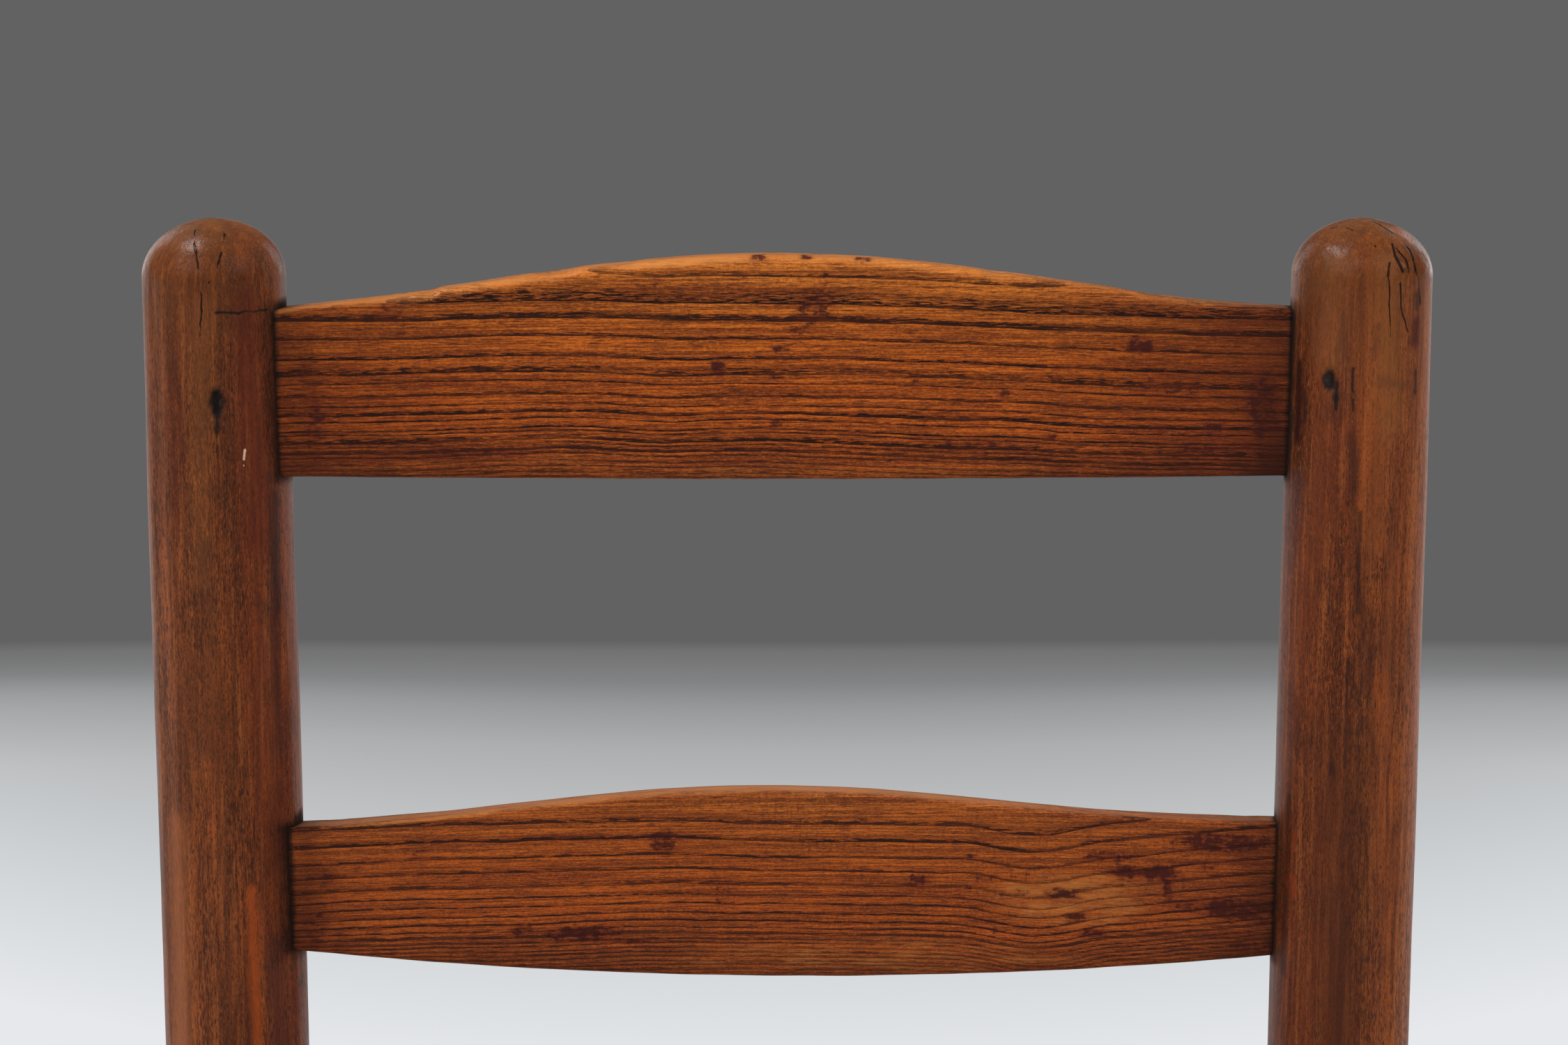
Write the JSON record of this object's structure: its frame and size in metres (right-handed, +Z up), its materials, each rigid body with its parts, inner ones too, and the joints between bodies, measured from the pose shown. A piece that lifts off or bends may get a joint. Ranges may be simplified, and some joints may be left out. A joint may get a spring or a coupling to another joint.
{
  "type": "side chair",
  "caption": "Rustic ladder-back side chair with round posts, serpentine slats, turned stretchers and a rush seat.",
  "frame": {"origin": "on the floor, under the middle of the chair's bounding box", "axes": "+Z up; the sitter faces -Y, so the back leans towards +Y; +X to the right as seen from the front"},
  "size_m": [0.445, 0.4649, 0.845],
  "materials": {
    "post_wood": "satin, stained beech",
    "slat_wood": "satin, stained ash",
    "rail_wood": "raw, under the rush",
    "rush": "twisted rush cord",
    "stuffing": "loose straw",
    "iron": "old forged iron"
  },
  "bodies": {
    "root": {"rear_post_left": "post_wood", "rear_post_right": "post_wood", "front_leg_left": "post_wood", "front_leg_right": "post_wood", "front_stretcher_lower": "post_wood", "front_stretcher_upper": "post_wood", "left_stretcher_lower": "post_wood", "left_stretcher_upper": "post_wood", "right_stretcher_lower": "post_wood", "right_stretcher_upper": "post_wood", "rear_stretcher": "post_wood", "top_slat": "slat_wood", "lower_slat": "slat_wood", "front_seat_rail": "rail_wood", "rear_seat_rail": "rail_wood", "left_seat_rail": "rail_wood", "right_seat_rail": "rail_wood", "rush_seat": "rush", "seat_stuffing": "stuffing", "slat_nails": "iron"}
  },
  "joints": []
}
